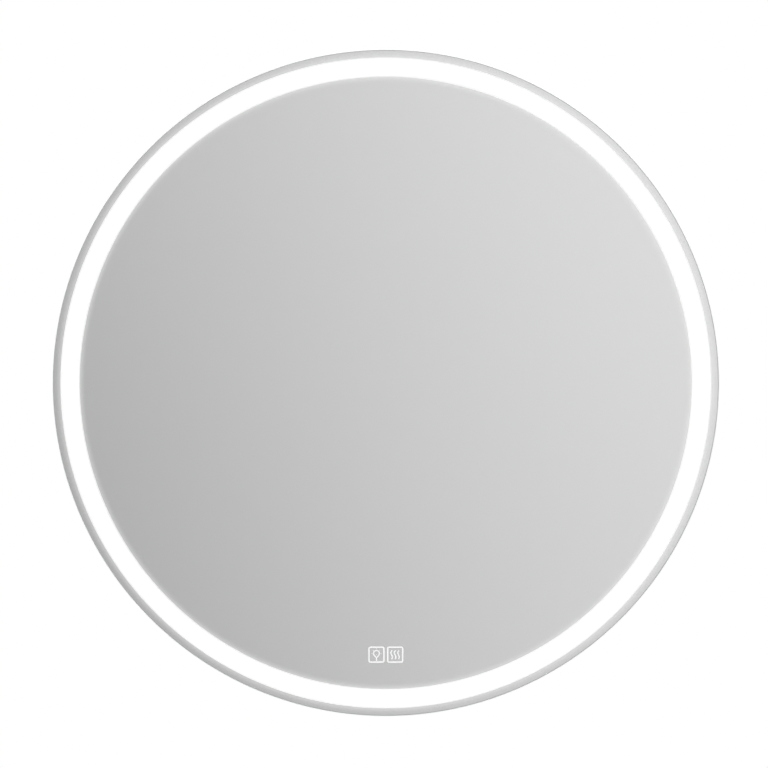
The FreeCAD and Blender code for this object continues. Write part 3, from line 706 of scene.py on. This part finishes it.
# ---- Frame ----
def frame_channel():
    """Rolled section with rounded corners: lip, wall, flange, skirt and the butt joint below."""
    lo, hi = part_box("frame_ring")
    outer, skirt = hi.x, hi.x - FRAME_WALL
    front, rear = lo.y, hi.y
    flange_front = FLANGE_FACE - FLANGE_THICK
    joint_depth, over = 1.0 * MM, 1.0 * MM
    ring = spun_ring("frame_channel", [
        (outer, front), (outer, rear), (skirt, rear), (skirt, FLANGE_FACE),
        (FLANGE_RADIUS, FLANGE_FACE), (FLANGE_RADIUS, flange_front), (skirt, flange_front),
        (skirt, front + FRAME_WALL), (LIP_RADIUS, front + FRAME_WALL), (LIP_RADIUS, front),
    ])
    bpy.ops.mesh.primitive_cube_add(size=1, location=(0, (front + rear) / 2, -outer),
                                    scale=(JOINT_GAP, rear - front + 2 * over, joint_depth))
    cut(ring, settle(named("joint")))
    soften(ring, width=0.35 * MM, segments=3)
    finish_piece(ring, "frame_ring", "mirror", satin_aluminium())


def sealant_bead():
    """Fillet of clear sealant in the corner between the frame and the glass."""
    outer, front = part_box("frame_ring")[1].x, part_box("silvering")[1].y
    wide, deep, hollow = 1.5 * MM, 1.2 * MM, 0.35
    bead = spun_ring("sealant_bead", [
        (outer, front), (outer + wide, front),
        (outer + wide * hollow, front + deep * hollow), (outer, front + deep),
    ])
    smooth(bead, angle=50)
    finish_piece(bead, (), "mirror", sealant())


# ---- Back ----
def rubber_feet():
    """Moulded feet: rounded, each with a shallow cup in the face that meets the wall."""
    cup_rim, cup_depth, least_face = 2.6 * MM, 0.9 * MM, 100 * MM * MM
    feet = worked_copy("wall_bumpers", "rubber_feet", bend=0.2 * MM)
    begin_edit(feet)
    pick(feet, lambda f: f.normal.y > 0.99 and f.area > least_face)
    bpy.ops.mesh.inset(thickness=cup_rim, use_individual=True)
    bpy.ops.mesh.extrude_region_move(TRANSFORM_OT_translate={"value": (0, -cup_depth, 0)})
    end_edit()
    soften(feet, width=0.5 * MM, segments=3)
    finish_piece(feet, "wall_bumpers", "mirror", rubber())


def cross_recess(level):
    """Solid of a cross slot, to be cut from a screw head that ends at level."""
    length, depth = 3.6 * MM, 2.2 * MM
    width = 0.28 * length
    parts = []
    for turn in (0, math.pi / 2):
        bpy.ops.mesh.primitive_cube_add(size=1, location=(0, level, 0), rotation=(0, turn, 0),
                                        scale=(length, depth, width))
        parts.append(settle(named("slot")))
    first, second = parts
    cut(first, second, "UNION")
    return first


def frame_screws():
    """Hexagon washer head screws with a cross recess."""
    lo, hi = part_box("back_screws")
    washer_radius, washer_thick, shank_radius = 4.6 * MM, 0.7 * MM, 1.75 * MM
    washer = disc_between("washer", washer_radius, PLATE_FACE, PLATE_FACE + washer_thick, SCREW_STEPS)
    soften(washer, width=0.25 * MM)
    head = disc_between("head", HEAD_FLATS / math.sqrt(3), PLATE_FACE, hi.y, 6)
    soften(head, width=0.3 * MM)
    cut(head, cross_recess(hi.y))
    shank = disc_between("shank", shank_radius, lo.y, PLATE_FACE, SCREW_STEPS)
    smooth(shank, angle=30)
    screw = joined("screw", [head, washer, shank])
    copies = []
    for i in range(SCREW_COUNT):
        angle = FULL * (i + 0.5) / SCREW_COUNT
        place = (SCREW_CIRCLE * math.cos(angle), 0, SCREW_CIRCLE * math.sin(angle))
        copies.append(copy_at(screw, place, spin=0.35 * i))
    bpy.data.objects.remove(screw)
    screws = joined("frame_screws", copies)
    finish_piece(screws, "back_screws", "mirror", plated_screw())


def spot_welds(cleat):
    """Row of round weld marks on a cleat's flange, each a shallow dish with a raised lip."""
    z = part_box(cleat)[1].z - WELD_DROP
    radius, raised, lip, slope, dish = 2.8 * MM, 0.16 * MM, 0.6 * MM, 0.7 * MM, 0.14 * MM
    marks = []
    for i in range(WELD_COUNT):
        x = (i - (WELD_COUNT - 1) / 2) * WELD_STEP
        mark = disc_between("weld", radius, CLEAT_FACE, CLEAT_FACE + raised, 20, x, z)
        begin_edit(mark)
        pick(mark, lambda f: f.normal.y > 0.9)
        bpy.ops.mesh.inset(thickness=lip)
        bpy.ops.mesh.inset(thickness=slope)
        bpy.ops.transform.translate(value=(0, -dish, 0))
        end_edit()
        smooth(mark, angle=40)
        marks.append(mark)
    welds = joined("spot_welds_" + cleat, marks)
    finish_piece(welds, (), "mirror", weld_mark())


def back_pieces():
    """Back plate, cleats and rails with soft bends, the terminal box and the weld marks."""
    plated = plated_steel()
    panel = worked_copy("back_plate", "back_panel", bend=0.25 * MM)
    finish_piece(panel, "back_plate", "mirror", zinc_sheet())
    for node, body in (("cleat_upper", "mirror"), ("cleat_lower", "mirror"),
                       ("wall_rail_upper", "wall_rails"), ("wall_rail_lower", "wall_rails")):
        sheet = worked_copy(node, node + "_sheet", bend=0.2 * MM)
        finish_piece(sheet, node, body, plated)
    box = worked_copy("terminal_base", "terminal_box", bend=0.3 * MM)
    finish_piece(box, "terminal_base", "mirror", black_plastic)
    spot_welds("cleat_upper")
    spot_welds("cleat_lower")


# ---- Pieces inside the case ----
def inner_finishes():
    """Materials of the CAD nodes that are shown as they are."""
    finishes = {
        white_moulding(): ("driver_tray", "driver_cover", "touch_housing", "terminal_block",
                           "lead_clips", "led_strip"),
        black_plastic: ("terminal_cover", "heater_tab"),
        green_board(): ("driver_board", "touch_board"),
        lead_sheath(): ("mains_lead", "supply_lead", "strip_lead", "heater_lead"),
        earth_sheath(): ("earth_lead",),
        tinned_brass(): ("earth_blade",),
        amber_film(): ("heater_pad",),
        foil(): ("heater_track",),
        dark_foam(): ("touch_tape", "touch_pads"),
        phosphor(): ("led_chips",),
    }
    for material, nodes in finishes.items():
        for node in nodes:
            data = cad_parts[node].data
            data.materials.clear()
            data.materials.append(material)


# ---- Stage, light and camera ----
def world_light():
    """White for the camera. What is polished sees a grey studio, lighter to the right and above."""
    world = bpy.data.worlds.new("studio")
    bpy.context.scene.world = world
    world.use_nodes = True
    tree = world.node_tree
    tree.nodes.clear()
    ray = add(tree, "ShaderNodeTexCoord").outputs["Generated"]
    axes = add(tree, "ShaderNodeSeparateXYZ", {"Vector": ray}).outputs

    def along(axis, *stops):
        return eased(tree, axes[axis], *stops)

    room = ROOM_TONE
    for shade in ROOM_SHADES:
        room = math_node(tree, "ADD", room, along(*shade))
    around = value_mix(tree, along(*BEHIND), room, along(*BACKDROP_TONE))
    around = math_node(tree, "ADD", around, along(*OVERHEAD_SHADE))
    path = add(tree, "ShaderNodeLightPath").outputs
    polished = math_node(tree, "MAXIMUM", path["Is Glossy Ray"], path["Is Transmission Ray"])
    lit = value_mix(tree, polished, AMBIENT, around)
    seen = value_mix(tree, path["Is Camera Ray"], lit, 1.0)
    sky = add(tree, "ShaderNodeBackground", {"Color": grey(tree, seen), "Strength": 1.0})
    out = add(tree, "ShaderNodeOutputWorld")
    tree.links.new(sky.outputs[0], out.inputs["Surface"])


def floor():
    """Pale floor that fades to the background's white with the distance, clear from below."""
    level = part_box("mirror_glass")[0].z - FLOOR_DROP
    bpy.ops.mesh.primitive_circle_add(vertices=96, radius=FLOOR_RADIUS, fill_type="NGON",
                                      location=(0, 0, level))
    ground = settle(named("floor"))
    material, tree, skin = new_material("pale_floor")
    skin.inputs["Base Color"].default_value = (0.90, 0.90, 0.90, 1)
    skin.inputs["Roughness"].default_value = 0.7
    fade = eased(tree, distance_from(tree, "Z"), *FLOOR_FADE)
    below = add(tree, "ShaderNodeNewGeometry").outputs["Backfacing"]
    share = math_node(tree, "MAXIMUM", fade, below)
    clear = add(tree, "ShaderNodeBsdfTransparent")
    mix = add(tree, "ShaderNodeMixShader", {0: share, 1: skin.outputs[0], 2: clear.outputs[0]})
    tree.links.new(mix.outputs[0], tree.nodes["Material Output"].inputs["Surface"])
    ground.data.materials.append(material)


def lamp(name, place, size, power, glossy):
    """Round soft lamp, aimed at the middle of the mirror."""
    data = bpy.data.lights.new(name, "AREA")
    data.shape = "DISK"
    data.size = size
    data.energy = power
    obj = bpy.data.objects.new(name, data)
    bpy.context.scene.collection.objects.link(obj)
    obj.location = place
    obj.rotation_euler = (-Vector(place)).to_track_quat("-Z", "Y").to_euler()
    obj.visible_glossy = glossy
    obj.visible_transmission = glossy


def camera():
    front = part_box("mirror_glass")[0].y
    data = bpy.data.cameras.new("camera")
    data.sensor_width = SENSOR
    data.lens = SENSOR * CAMERA_REACH / VIEW_WIDTH
    obj = bpy.data.objects.new("camera", data)
    bpy.context.scene.collection.objects.link(obj)
    obj.location = (VIEW_OFFSET[0], front - CAMERA_REACH, VIEW_OFFSET[1])
    obj.rotation_euler = ALONG_Y
    bpy.context.scene.camera = obj


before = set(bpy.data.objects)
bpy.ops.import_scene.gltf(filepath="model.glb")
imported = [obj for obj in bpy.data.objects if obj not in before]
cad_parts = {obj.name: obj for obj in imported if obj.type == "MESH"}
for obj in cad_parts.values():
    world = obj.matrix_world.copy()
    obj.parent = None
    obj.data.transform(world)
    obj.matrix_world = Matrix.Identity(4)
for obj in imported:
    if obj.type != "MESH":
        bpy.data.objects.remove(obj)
bpy.ops.object.select_all(action="DESELECT")
bpy.context.scene.view_settings.view_transform = "Standard"
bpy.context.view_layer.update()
mark_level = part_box("silvering")[0].y + SILVER_GAP / 2
grain = grain_group()
black_plastic = black_moulding()

camera()
world_light()
for setting in LAMPS:
    lamp(*setting)
floor()
glass_pane()
silver_coat()
key_marks()
opal_ring()
frame_channel()
sealant_bead()
rubber_feet()
frame_screws()
back_pieces()
inner_finishes()
